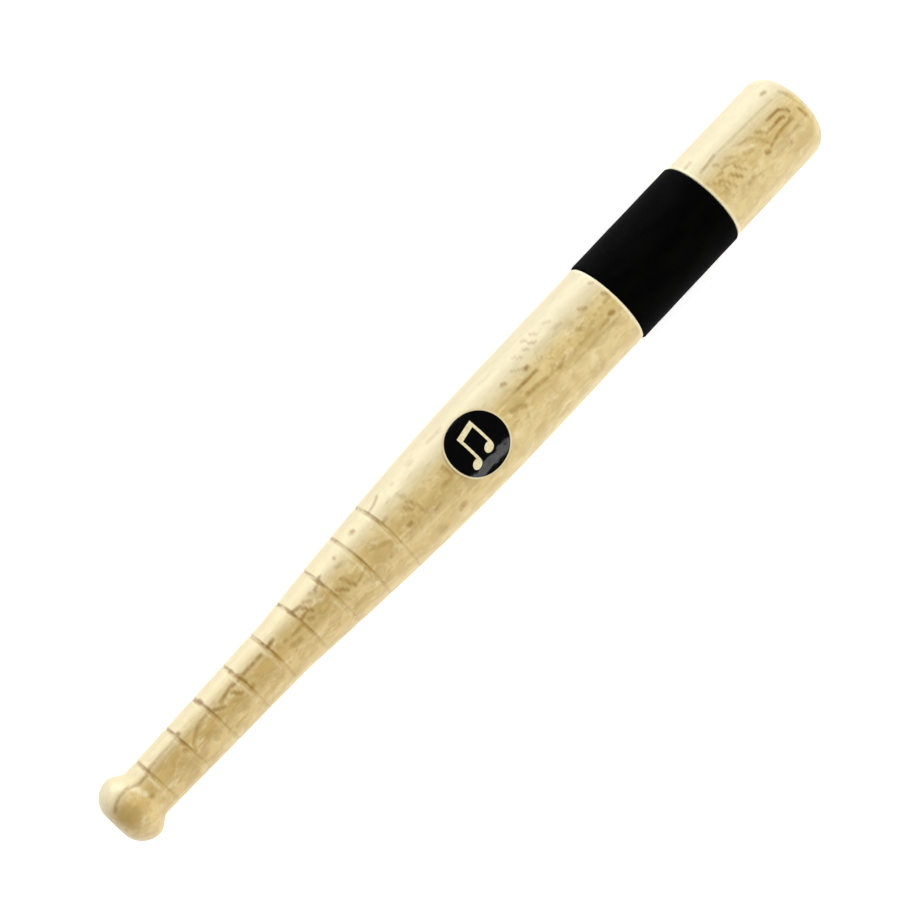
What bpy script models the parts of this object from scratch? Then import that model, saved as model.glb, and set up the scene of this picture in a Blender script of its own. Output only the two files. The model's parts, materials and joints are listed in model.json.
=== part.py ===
"""A cowbell beater: a turned hardwood stick with burnt grip rings, a rubber striking sleeve and a domed badge.

Run it with blender --background --python part.py, or from Blender's text editor.

Metres, +Z up. The stick lies along +X as it rests on a table: on the head just past the flare and on the
sleeve's near edge, with its tip a little raised, its knob just clear of the table and its badge on top.
The origin is under the middle of its box. Distances called x run along the stick's own axis, from the knob's
end to the tip.
"""

from math import atan, cos, pi, radians, sin, tau

import bmesh
import bpy

MM = 0.001

# The turned stick
LENGTH = 250 * MM
HEAD_RADIUS = 12.4 * MM
GRIP_RADIUS = 8.15 * MM
NECK_RADIUS = 7.05 * MM
KNOB_RADIUS = 9.3 * MM
KNOB_X = 6.2 * MM
KNOB_LAND_RADIUS = 3.0 * MM
NECK_X = 11.2 * MM
FLARE_START_X = 60 * MM
FLARE_END_X = 142 * MM
TIP_ROUNDING = 5.4 * MM

# The grip rings burnt into the handle
RING_COUNT = 9
FIRST_RING_X = 14.8 * MM
RING_PITCH = 10.25 * MM
RING_WIDTH = 1.0 * MM
RING_FLOOR_WIDTH = 0.4 * MM
RING_DEPTH = 0.4 * MM

# The rubber sleeve and the seat turned for it
SLEEVE_X = 178.8 * MM
SLEEVE_LENGTH = 35.3 * MM
SLEEVE_RADIUS = 12.75 * MM
SEAT_DEPTH = 1.2 * MM
SLEEVE_EDGE_ROUNDING = 0.6 * MM
SLEEVE_GAP = 0.3 * MM

# The badge, from the wood up: adhesive pad, black film, raised emblem, clear dome
BADGE_X = 127.5 * MM
BADGE_RADIUS = 8.8 * MM
BADGE_TURN = radians(1.8)
PAD_INSET = 0.25 * MM
PAD_GAP = 0.1 * MM
PAD_THICKNESS = 0.1 * MM
LAYER_GAP = 0.06 * MM
FILM_THICKNESS = 0.16 * MM
EMBLEM_THICKNESS = 0.12 * MM
DOME_RIM_HEIGHT = 0.14 * MM
DOME_CROWN_HEIGHT = 0.45 * MM

# The emblem, a pair of joined quavers, drawn with the stick's axis across it
NOTE_SPACING = 5.0 * MM
NOTE_HEAD_LENGTH = 3.0 * MM
NOTE_HEAD_HEIGHT = 2.2 * MM
NOTE_HEAD_TURN = radians(22)
STEM_WIDTH = 0.75 * MM
STEM_LENGTH = 6.2 * MM
STEM_FOOT_RISE = 0.45 * MM
BEAM_THICKNESS = 1.5 * MM
BEAM_RISE = 0.9 * MM
EMBLEM_FOOT_Y = -3.4 * MM

# How finely curves are cut
SIDES = 48
DISC_SIDES = 40
NOTE_SIDES = 16
ARC_STEPS = 6
FLARE_STEPS = 14
WRAP_STEP = 2.2 * MM
FLAT_TO_TRUE = 1 / cos(pi / SIDES)
MERGE_DISTANCE = 1e-6
SMOOTH_ANGLE = radians(35)

# How finely the flare is searched for the place that it rests on
REST_SEARCH_STEPS = 400


def clear_scene():
    for obj in list(bpy.data.objects):
        bpy.data.objects.remove(obj, do_unlink=True)


def material(name, colour, roughness, alpha=1.0):
    made = bpy.data.materials.new(name)
    made.use_nodes = True
    shader = made.node_tree.nodes["Principled BSDF"]
    shader.inputs["Base Color"].default_value = (*colour, 1)
    shader.inputs["Roughness"].default_value = roughness
    shader.inputs["Metallic"].default_value = 0
    shader.inputs["Alpha"].default_value = alpha
    return made


def empty(name, location, parent=None):
    made = bpy.data.objects.new(name, None)
    bpy.context.collection.objects.link(made)
    made.location = location
    made.parent = parent
    return made


def object_from(bm, name, parent=None, finish=None):
    """An object that holds the bmesh, with its faces pointing out."""
    bmesh.ops.recalc_face_normals(bm, faces=bm.faces)
    mesh = bpy.data.meshes.new(name)
    bm.to_mesh(mesh)
    bm.free()
    made = bpy.data.objects.new(name, mesh)
    bpy.context.collection.objects.link(made)
    made.parent = parent
    if finish:
        mesh.materials.append(finish)
        mesh.shade_smooth()
        mesh.set_sharp_from_angle(angle=SMOOTH_ANGLE)
    return made


def quarter_round(centre_x, centre_r, length, height, start, end):
    """Outline points on an ellipse, from one angle to the other, counted from the outward radius towards +X."""
    angles = [start + (end - start) * step / ARC_STEPS for step in range(ARC_STEPS + 1)]
    return [(centre_x + length * sin(angle), centre_r + height * cos(angle)) for angle in angles]


def stick_radius(x):
    """The stick's radius from the neck to the head: a slow taper, then a flare that eases into the head."""
    if x < FLARE_START_X:
        share = (x - NECK_X) / (FLARE_START_X - NECK_X)
        return NECK_RADIUS + (GRIP_RADIUS - NECK_RADIUS) * share
    share = min(1, (x - FLARE_START_X) / (FLARE_END_X - FLARE_START_X))
    return GRIP_RADIUS + (HEAD_RADIUS - GRIP_RADIUS) * sin(pi / 2 * share)


def knob_outline():
    """From the turning centre's flat land, round the belly, and in to the neck."""
    belly = quarter_round(KNOB_X, KNOB_LAND_RADIUS, KNOB_X, KNOB_RADIUS - KNOB_LAND_RADIUS, -pi / 2, 0)
    cove = []
    for step in range(1, ARC_STEPS + 1):
        share = step / ARC_STEPS
        ease = (1 - cos(pi * share)) / 2
        cove.append((KNOB_X + (NECK_X - KNOB_X) * share, KNOB_RADIUS + (NECK_RADIUS - KNOB_RADIUS) * ease))
    return [(0, 0), *belly, *cove]


def ring_outline(x):
    """One grip ring: a narrow groove with sloping walls and a flat floor."""
    floor = stick_radius(x) - RING_DEPTH
    rim, foot = RING_WIDTH / 2, RING_FLOOR_WIDTH / 2
    return [
        (x - rim, stick_radius(x - rim)),
        (x - foot, floor),
        (x + foot, floor),
        (x + rim, stick_radius(x + rim)),
    ]


def seat_outline():
    """The shallow seat that holds the sleeve endways."""
    start, end = SLEEVE_X - SLEEVE_GAP, SLEEVE_X + SLEEVE_LENGTH + SLEEVE_GAP
    floor = HEAD_RADIUS - SEAT_DEPTH
    return [(start, HEAD_RADIUS), (start, floor), (end, floor), (end, HEAD_RADIUS)]


def tip_outline():
    land = HEAD_RADIUS - TIP_ROUNDING
    rounding = quarter_round(LENGTH - TIP_ROUNDING, land, TIP_ROUNDING, TIP_ROUNDING, 0, pi / 2)
    return [*rounding, (LENGTH, 0)]


def stick_outline():
    """The whole turned outline, knob to tip. Rings take the place of flare points that they touch."""
    rings = [FIRST_RING_X + RING_PITCH * number for number in range(RING_COUNT)]
    flare_length = FLARE_END_X - FLARE_START_X
    flare = [FLARE_START_X + flare_length * step / FLARE_STEPS for step in range(FLARE_STEPS + 1)]
    clear = [x for x in flare if all(abs(x - ring) > RING_WIDTH for ring in rings)]
    shaft = [(x, stick_radius(x)) for x in clear]
    for ring in rings:
        shaft += ring_outline(ring)
    return [*knob_outline(), *sorted(shaft), *seat_outline(), *tip_outline()]


def turned(name, outline, parent, finish, is_ring=False):
    """A solid turned round X from its outline. Its flats, and not its corners, lie at the outline's radius."""
    bm = bmesh.new()
    half_side = pi / SIDES
    row = []
    for x, radius in outline:
        corner = radius * FLAT_TO_TRUE
        row.append(bm.verts.new((x, corner * sin(half_side), corner * cos(half_side))))
    ends = zip(row, row[1:] + row[:1] if is_ring else row[1:])
    edges = [bm.edges.new(pair) for pair in ends]
    bmesh.ops.spin(bm, geom=row + edges, axis=(1, 0, 0), angle=tau, steps=SIDES, use_merge=True)
    bmesh.ops.remove_doubles(bm, verts=bm.verts, dist=MERGE_DISTANCE)
    return object_from(bm, name, parent, finish)


def make_stick(parent):
    wood = material("beater_wood", (0.66, 0.50, 0.25), 0.5)
    turned("beater_body", stick_outline(), parent, wood)


def make_sleeve(parent):
    """A short rubber tube with eased outer edges."""
    rubber = material("sleeve_rubber", (0.012, 0.012, 0.012), 0.75)
    bore = HEAD_RADIUS - SEAT_DEPTH + SLEEVE_GAP
    ease = SLEEVE_EDGE_ROUNDING
    far = SLEEVE_X + SLEEVE_LENGTH
    near_edge = quarter_round(SLEEVE_X + ease, SLEEVE_RADIUS - ease, ease, ease, -pi / 2, 0)
    far_edge = quarter_round(far - ease, SLEEVE_RADIUS - ease, ease, ease, 0, pi / 2)
    outline = [(SLEEVE_X, bore), *near_edge, *far_edge, (far, bore)]
    turned("rubber_sleeve", outline, parent, rubber, is_ring=True)


def prism(name, corners, bottom, top):
    """A flat piece with this outline between two heights."""
    bm = bmesh.new()
    face = bm.faces.new([bm.verts.new((x, y, bottom)) for x, y in corners])
    grown = bmesh.ops.extrude_face_region(bm, geom=[face])
    raised = [item for item in grown["geom"] if isinstance(item, bmesh.types.BMVert)]
    bmesh.ops.translate(bm, verts=raised, vec=(0, 0, top - bottom))
    return object_from(bm, name)


def ellipse(centre_x, centre_y, length, height, turn, sides):
    """Corners of an ellipse, turned anticlockwise."""
    corners = []
    for side in range(sides):
        along = length / 2 * cos(tau * side / sides)
        across = height / 2 * sin(tau * side / sides)
        corners.append(
            (
                centre_x + along * cos(turn) - across * sin(turn),
                centre_y + along * sin(turn) + across * cos(turn),
            )
        )
    return corners


def apply_boolean(obj, other, operation):
    """Joins or cuts one flat piece with another, and removes the other."""
    modifier = obj.modifiers.new(operation.lower(), "BOOLEAN")
    modifier.operation = operation
    modifier.object = other
    graph = bpy.context.evaluated_depsgraph_get()
    result = bpy.data.meshes.new_from_object(obj.evaluated_get(graph))
    obj.modifiers.clear()
    obj.data = result
    bpy.data.objects.remove(other, do_unlink=True)


def emblem(name, bottom, top, grow=0.0):
    """Joined quavers as one flat piece, each stroke wider by grow on every side."""
    half_stem = STEM_WIDTH / 2 + grow
    beam_slope = BEAM_RISE / NOTE_SPACING
    reach = NOTE_SPACING / 2 + half_stem
    beam_y = EMBLEM_FOOT_Y + STEM_LENGTH + BEAM_RISE / 2
    beam = [
        (-reach, beam_y - reach * beam_slope - grow),
        (reach, beam_y + reach * beam_slope - grow),
        (reach, beam_y + reach * beam_slope + BEAM_THICKNESS + grow),
        (-reach, beam_y - reach * beam_slope + BEAM_THICKNESS + grow),
    ]
    made = prism(name, beam, bottom, top)
    for side in (-1, 1):
        stem_x = side * NOTE_SPACING / 2
        foot_y = EMBLEM_FOOT_Y + (side + 1) / 2 * BEAM_RISE
        top_y = foot_y + STEM_LENGTH + BEAM_THICKNESS / 2
        stem = [
            (stem_x - half_stem, foot_y + STEM_FOOT_RISE),
            (stem_x + half_stem, foot_y + STEM_FOOT_RISE),
            (stem_x + half_stem, top_y),
            (stem_x - half_stem, top_y),
        ]
        head_x = stem_x + STEM_WIDTH / 2 - NOTE_HEAD_LENGTH / 2
        length, height = NOTE_HEAD_LENGTH + 2 * grow, NOTE_HEAD_HEIGHT + 2 * grow
        head = ellipse(head_x, foot_y, length, height, NOTE_HEAD_TURN, NOTE_SIDES)
        apply_boolean(made, prism("stem", stem, bottom, top), "UNION")
        apply_boolean(made, prism("head", head, bottom, top), "UNION")
    return made


def dome_blank(name, bottom):
    """The clear dome before its pocket is cut: a short rim under a shallow crown."""
    bm = bmesh.new()
    crown = DOME_CROWN_HEIGHT - DOME_RIM_HEIGHT
    outline = [(0, bottom), (BADGE_RADIUS, bottom)]
    for step in range(ARC_STEPS + 1):
        angle = pi / 2 * step / ARC_STEPS
        outline.append((BADGE_RADIUS * cos(angle), bottom + DOME_RIM_HEIGHT + crown * sin(angle)))
    row = [bm.verts.new((radius, 0, height)) for radius, height in outline]
    edges = [bm.edges.new(pair) for pair in zip(row, row[1:])]
    bmesh.ops.spin(bm, geom=row + edges, axis=(0, 0, 1), angle=tau, steps=DISC_SIDES, use_merge=True)
    bmesh.ops.remove_doubles(bm, verts=bm.verts, dist=MERGE_DISTANCE)
    return object_from(bm, name)


def wrap(obj, parent, finish):
    """Bends a flat badge piece round the stick: its y becomes the way round, its height the way out."""
    bm = bmesh.new()
    bm.from_mesh(obj.data)
    name = obj.name
    bpy.data.objects.remove(obj, do_unlink=True)
    cuts = int(BADGE_RADIUS / WRAP_STEP)
    for normal in ((1, 0, 0), (0, 1, 0)):
        for number in range(-cuts, cuts + 1):
            place = [part * number * WRAP_STEP for part in normal]
            everything = bm.verts[:] + bm.edges[:] + bm.faces[:]
            bmesh.ops.bisect_plane(bm, geom=everything, dist=MERGE_DISTANCE, plane_co=place, plane_no=normal)
    bmesh.ops.triangulate(bm, faces=bm.faces)
    for vert in bm.verts:
        x, y, height = vert.co
        radius = stick_radius(BADGE_X + x) + height
        angle = y / stick_radius(BADGE_X)
        vert.co = (x, radius * sin(angle), radius * cos(angle))
    object_from(bm, name, parent, finish)


def make_badge(parent):
    """The badge's layers, each drawn flat at its height over the wood and then wrapped."""
    pad_top = PAD_GAP + PAD_THICKNESS
    film_bottom = pad_top + LAYER_GAP
    film_top = film_bottom + FILM_THICKNESS
    emblem_bottom = film_top + LAYER_GAP
    emblem_top = emblem_bottom + EMBLEM_THICKNESS
    pad_width = 2 * (BADGE_RADIUS - PAD_INSET)
    pad = prism("badge_adhesive", ellipse(0, 0, pad_width, pad_width, 0, DISC_SIDES), PAD_GAP, pad_top)
    film_width = 2 * BADGE_RADIUS
    film_outline = ellipse(0, 0, film_width, film_width, 0, DISC_SIDES)
    film = prism("badge_film", film_outline, film_bottom, film_top)
    notes = emblem("badge_emblem", emblem_bottom, emblem_top)
    dome = dome_blank("badge_dome", film_top + LAYER_GAP)
    pocket = emblem("pocket", film_top, emblem_top + LAYER_GAP, LAYER_GAP)
    apply_boolean(dome, pocket, "DIFFERENCE")
    wrap(pad, parent, material("pad_acrylic", (0.55, 0.55, 0.53), 0.6))
    wrap(film, parent, material("film_black", (0.006, 0.006, 0.008), 0.25))
    wrap(notes, parent, material("emblem_gold", (0.80, 0.62, 0.34), 0.35))
    wrap(dome, parent, material("dome_resin", (0.9, 0.92, 0.95), 0.05, alpha=0.3))


def rest_pose():
    """The stick's frame as it lies on a table, on the sleeve's near edge and on the fullest part of the flare."""
    edge_x = SLEEVE_X + SLEEVE_EDGE_ROUNDING
    flare_length = FLARE_END_X - FLARE_START_X
    places = [FLARE_START_X + flare_length * step / REST_SEARCH_STEPS for step in range(REST_SEARCH_STEPS + 1)]
    tilt = min(atan((SLEEVE_RADIUS - stick_radius(x)) / (edge_x - x)) for x in places)
    knob_end_height = SLEEVE_RADIUS * cos(tilt) - edge_x * sin(tilt)
    lie = empty("rest_pose", (-LENGTH / 2 * cos(tilt), 0, knob_end_height))
    lie.rotation_euler.y = -tilt
    return lie


def main():
    clear_scene()
    lie = rest_pose()
    make_stick(lie)
    make_sleeve(lie)
    seat = empty("badge_seat", (BADGE_X, 0, 0), lie)
    seat.rotation_euler.x = BADGE_TURN
    make_badge(seat)


main()
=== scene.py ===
"""The looks of a cowbell beater: a lacquered hardwood stick with burnt grip rings, a rubber striking
sleeve and a domed badge, lying on a pale table under soft studio light.

The stick's own frame has x along its axis from the knob's end, y across and z out through the badge.
Sizes are in millimetres in that frame, as the CAD has them. The record's two mounts, which are the
stick's flat ends, say where the frame lies.
"""

import json
from math import cos, exp, pi, radians, sin, sqrt, tau

import bmesh
import bpy
import numpy as np
from mathutils import Matrix, Vector, noise


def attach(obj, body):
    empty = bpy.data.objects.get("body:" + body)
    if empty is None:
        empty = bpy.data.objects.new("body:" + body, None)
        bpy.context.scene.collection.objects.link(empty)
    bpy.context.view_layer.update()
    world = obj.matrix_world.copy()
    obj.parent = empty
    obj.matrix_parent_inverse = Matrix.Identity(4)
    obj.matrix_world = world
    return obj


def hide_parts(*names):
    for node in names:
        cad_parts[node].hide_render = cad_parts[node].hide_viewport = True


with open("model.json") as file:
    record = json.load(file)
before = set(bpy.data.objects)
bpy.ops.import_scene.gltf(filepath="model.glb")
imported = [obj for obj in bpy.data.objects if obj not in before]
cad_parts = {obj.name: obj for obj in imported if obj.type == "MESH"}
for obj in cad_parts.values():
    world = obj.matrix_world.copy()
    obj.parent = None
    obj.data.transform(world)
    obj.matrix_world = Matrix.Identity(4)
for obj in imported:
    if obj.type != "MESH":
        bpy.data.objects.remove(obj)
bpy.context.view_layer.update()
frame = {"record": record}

MM = 0.001

# The turned stick, as the CAD has it
LENGTH = 250
HEAD_RADIUS = 12.4
GRIP_RADIUS = 8.15
NECK_RADIUS = 7.05
KNOB_RADIUS = 9.3
KNOB_X = 6.2
KNOB_LAND_RADIUS = 3.0
NECK_X = 11.2
FLARE_START_X = 60
FLARE_END_X = 142
TIP_ROUNDING = 5.4
RING_COUNT = 9
FIRST_RING_X = 14.8
RING_PITCH = 10.25
RING_WIDTH = 1.0
RING_DEPTH = 0.4

# The sleeve and its seat
SLEEVE_X = 178.8
SLEEVE_LENGTH = 35.3
SLEEVE_RADIUS = 12.75
SEAT_DEPTH = 1.2
SLEEVE_EDGE_ROUNDING = 0.6
SLEEVE_GAP = 0.3

# The badge
BADGE_X = 127.5
BADGE_RADIUS = 8.8
BADGE_TURN = radians(1.8)
PAD_INSET = 0.25
PAD_GAP = 0.1
PAD_THICKNESS = 0.1
LAYER_GAP = 0.06
FILM_THICKNESS = 0.16
EMBLEM_THICKNESS = 0.12
DOME_RIM_HEIGHT = 0.14
DOME_CROWN_HEIGHT = 0.45
NOTE_SPACING = 5.0
NOTE_HEAD_LENGTH = 3.0
NOTE_HEAD_HEIGHT = 2.2
NOTE_HEAD_TURN = radians(22)
STEM_WIDTH = 0.75
STEM_LENGTH = 6.2
STEM_FOOT_RISE = 0.45
BEAM_THICKNESS = 1.5
BEAM_RISE = 0.9
EMBLEM_FOOT_Y = -3.4


# The stick's frame

def stick_matrix():
    """From the stick's own frame in millimetres to the world in metres."""
    ends = {mount["name"]: Vector(mount["pos_m"]) for mount in frame["record"]["mounts"]}
    along = (ends["tip_face"] - ends["knob_face"]).normalized()
    across = Vector((0, 1, 0))
    out = along.cross(across)
    turn = Matrix((along, across, out)).transposed().to_4x4()
    return Matrix.Translation(ends["knob_face"]) @ turn @ Matrix.Scale(MM, 4)


STICK = stick_matrix()


def direction(x, y, z):
    """A direction of the stick's frame in the world."""
    return (STICK.to_3x3() @ Vector((x, y, z))).normalized()


# Mesh helpers

def placed(name, points, faces, attributes=None):
    """A smooth mesh object from points in the stick's frame, which it keeps as the attribute stick_mm."""
    world = [STICK @ Vector(point) for point in points]
    mesh = bpy.data.meshes.new(name)
    mesh.from_pydata(world, [], faces)
    kept = mesh.attributes.new("stick_mm", "FLOAT_VECTOR", "POINT")
    kept.data.foreach_set("vector", np.array(points, dtype=np.float32).ravel())
    for label, values in (attributes or {}).items():
        layer = mesh.attributes.new(label, "FLOAT", "POINT")
        layer.data.foreach_set("value", np.array(values, dtype=np.float32))
    mesh.validate()
    mesh.shade_smooth()
    made = bpy.data.objects.new(name, mesh)
    bpy.context.collection.objects.link(made)
    return made


def spaced(start, end, step):
    """Even places from start to just before end, no further apart than step."""
    count = max(1, int(np.ceil((end - start) / step)))
    return [start + (end - start) * number / count for number in range(count)]


def ring_faces(rows, sides, closed=False):
    """Quads between neighbouring rows of a turned shape, facing out where x grows from row to row."""
    faces = []
    for row in range(rows if closed else rows - 1):
        here, there = row * sides, (row + 1) % rows * sides
        for side in range(sides):
            other = (side + 1) % sides
            faces.append((here + side, here + other, there + other, there + side))
    return faces


def smooth_step(value):
    value = min(1, max(0, value))
    return value * value * (3 - 2 * value)


# Geometry: the stick

def stick_radius(x):
    if x < FLARE_START_X:
        share = (x - NECK_X) / (FLARE_START_X - NECK_X)
        return NECK_RADIUS + (GRIP_RADIUS - NECK_RADIUS) * share
    share = min(1, (x - FLARE_START_X) / (FLARE_END_X - FLARE_START_X))
    return GRIP_RADIUS + (HEAD_RADIUS - GRIP_RADIUS) * sin(pi / 2 * share)


# The visual model's own choices: the stick's sides, crowded towards the badge, its rows, and how far each
# ring, cut by hand, strays from its regular place
WOOD_SIDES = 184
WOOD_CROWDING = 0.35
ROW_STEP = 0.7
RING_ROW_STEP = 0.15
KNOB_ROW_STEP = 0.4
ARC_STEPS = 20
SEAT_EDGE_STEPS = 6
RING_XS = [FIRST_RING_X + RING_PITCH * number for number in range(RING_COUNT)]
RING_SHIFTS = (0.1, 0.5, 0.1, 0.5, 0.3, 0.2, 0.1, 0.4, 0.1)
RING_REACH = 1.35
SEAT_START = SLEEVE_X - SLEEVE_GAP
SEAT_END = SLEEVE_X + SLEEVE_LENGTH + SLEEVE_GAP
SEAT_EDGE = 0.45


def knob_rows():
    rows = []
    for step in range(1, 7):
        rows.append((0, KNOB_LAND_RADIUS * step / 6))
    for step in range(1, ARC_STEPS + 1):
        angle = -pi / 2 + pi / 2 * step / ARC_STEPS
        length, height = KNOB_X, KNOB_RADIUS - KNOB_LAND_RADIUS
        rows.append((KNOB_X + length * sin(angle), KNOB_LAND_RADIUS + height * cos(angle)))
    for x in spaced(KNOB_X, NECK_X, KNOB_ROW_STEP)[1:]:
        ease = (1 - cos(pi * (x - KNOB_X) / (NECK_X - KNOB_X))) / 2
        rows.append((x, KNOB_RADIUS + (NECK_RADIUS - KNOB_RADIUS) * ease))
    return rows


def shaft_rows():
    """Rows from the neck to the sleeve's seat, closer together across the grip rings."""
    rows = []
    start = NECK_X
    for ring in RING_XS:
        near, far = ring - RING_REACH, ring + RING_REACH
        rows += [(x, stick_radius(x)) for x in spaced(start, near, ROW_STEP)]
        rows += [(x, stick_radius(x)) for x in spaced(near, far, RING_ROW_STEP)]
        start = far
    rows += [(x, stick_radius(x)) for x in spaced(start, SEAT_START - SEAT_EDGE, ROW_STEP)]
    return rows


def seat_rows():
    """The rounded edges and the floor of the sleeve's seat."""
    rows = []
    floor = HEAD_RADIUS - SEAT_DEPTH
    for step in range(SEAT_EDGE_STEPS + 1):
        angle = pi / 2 * step / SEAT_EDGE_STEPS
        x = SEAT_START - SEAT_EDGE * (1 - sin(angle))
        rows.append((x, HEAD_RADIUS - SEAT_EDGE * (1 - cos(angle))))
    rows += [(SEAT_START, floor), (SEAT_END, floor)]
    for step in range(SEAT_EDGE_STEPS + 1):
        angle = pi / 2 * step / SEAT_EDGE_STEPS
        x = SEAT_END + SEAT_EDGE * (1 - cos(angle))
        rows.append((x, HEAD_RADIUS - SEAT_EDGE * (1 - sin(angle))))
    return rows


def tip_rows():
    land = HEAD_RADIUS - TIP_ROUNDING
    rows = [(x, HEAD_RADIUS) for x in spaced(SEAT_END + SEAT_EDGE, LENGTH - TIP_ROUNDING, ROW_STEP)[1:]]
    for step in range(ARC_STEPS + 1):
        angle = pi / 2 * step / ARC_STEPS
        x = LENGTH - TIP_ROUNDING * (1 - sin(angle))
        rows.append((x, land + TIP_ROUNDING * cos(angle)))
    rows += [(LENGTH, land * step / 8) for step in range(7, 0, -1)]
    return rows


def ring_place(ring, angle):
    """How far a burnt ring, cut by hand, lies from its proper place on its way round."""
    wander = noise.noise(Vector((1.6 * cos(angle), 1.6 * sin(angle), ring * 1.37)))
    return RING_SHIFTS[ring] - 0.3 * max(0, sin(angle)) + 0.22 * wander


def ring_cut(offset):
    """How deep a ring is at this distance from its middle, as a share, with a faint burr at its rims."""
    distance = abs(offset) / (RING_WIDTH / 2)
    burr = -0.09 * exp(-((distance - 1.35) / 0.3) ** 2)
    return (1 - distance ** 1.7 if distance < 1 else 0) + burr


def ring_strength(ring, angle):
    """How hard the burning tool pressed: least on one side of the top, and uneven all the way round."""
    side = -sin(angle) * smooth_step((cos(angle) + 0.5) / 0.5)
    uneven = noise.noise(Vector((2.2 * cos(angle), 2.2 * sin(angle), ring * 2.1 + 5)))
    return min(1, max(0.22, 0.8 - 1.0 * max(0, side + 0.2) + 0.5 * uneven))


def turning_unevenness(x, angle):
    """The hand-held tool's small waves, only ever inwards, in millimetres."""
    slow = noise.noise(Vector((x * 0.05, 0.8 * cos(angle), 0.8 * sin(angle))))
    ripple = noise.noise(Vector((x * 0.45, 1.7 * cos(angle) + 9, 1.7 * sin(angle))))
    return -0.05 - 0.04 * slow - 0.01 * ripple


# The wood's own figure on its upper side, placed one by one. Each stroke has a strength, a half width and
# the places along and across the stick that it runs through, in millimetres. One place alone is a pin
# knot.
HANDLE_SEAM = (
    (0.55, 0.45, (2.2, 2.2), (3.5, 3.2), (5.6, 4.1), (8.0, 4.2), (9.8, 3.4), (11.2, 2.7), (13.5, 2.8),
     (15.8, 3.6)),
    (0.40, 0.40, (15.8, 3.6), (20.0, 3.7), (26.0, 4.0)),
    (0.55, 0.45, (26.4, -1.8), (27.1, -0.2), (28.4, 0.7), (30.3, 1.8), (32.0, 2.3), (34.6, 2.4),
     (36.4, 1.8)),
    (0.75, 0.45, (36.4, 1.8), (37.4, 1.1), (38.4, 0.6)),
    (0.75, 0.50, (38.8, 2.0), (41.0, 2.4), (43.0, 2.8), (45.0, 2.6), (47.0, 2.6), (50.5, 2.7),
     (53.8, 2.7)),
    (0.95, 0.50, (56.2, 2.8), (58.2, 3.2)),
)
HANDLE_MARKS = (
    (0.60, 0.60, (11.2, -1.7)), (0.40, 0.50, (7.2, 4.3), (9.0, 4.0)), (0.85, 0.60, (24.5, 0.1)),
    (0.90, 0.60, (26.3, 4.2)), (1.00, 0.70, (35.5, 5.9), (35.5, 5.5)),
    (0.55, 0.45, (35.6, 5.0), (35.7, 2.4)), (0.80, 0.45, (42.4, 1.5), (43.2, 0.4), (44.0, -0.3)),
    (0.90, 0.65, (45.9, 5.3)), (0.60, 0.55, (46.4, 3.4), (46.5, 1.0)),
    (0.50, 0.60, (46.3, -1.1), (47.2, -1.0)), (0.55, 0.50, (60.3, 0.7)),
    (0.35, 0.70, (60.5, -1.3), (63.0, -1.8)), (0.50, 0.50, (62.5, 0.4), (66.0, 0.3)),
    (0.80, 0.50, (66.9, 1.5), (68.4, 1.8)),
    (0.80, 0.50, (66.6, 4.3), (68.6, 3.9), (69.3, 2.6), (70.1, 1.0)),
    (0.65, 0.45, (68.0, 0.5), (69.1, -0.6)), (0.45, 0.50, (70.0, 4.1), (71.6, 3.0)),
    (0.80, 0.45, (74.4, 4.1), (75.8, 4.7), (77.3, 5.4)), (0.45, 0.50, (72.6, 4.4), (74.0, 3.4)),
    (0.75, 0.42, (77.8, 0.2), (78.8, -0.7), (79.7, -1.9)),
    (0.70, 0.42, (80.6, 1.4), (81.1, -0.6), (81.8, -2.4)),
    (0.45, 0.35, (81.8, -2.4), (84.0, -2.1), (86.4, -1.3)), (0.75, 0.55, (83.2, 6.0)),
    (0.35, 0.60, (81.8, 4.0), (83.2, 3.8)), (0.95, 0.60, (90.5, 7.1), (91.1, 7.1)),
    (0.40, 0.60, (91.2, 0.8), (93.0, -0.2), (95.2, -1.2)), (0.45, 0.45, (93.0, -4.0)),
    (0.60, 0.35, (97.2, 7.4), (99.2, 7.8), (101.6, 8.7)), (0.40, 0.45, (97.4, 3.2), (99.0, 3.4)),
)
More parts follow.
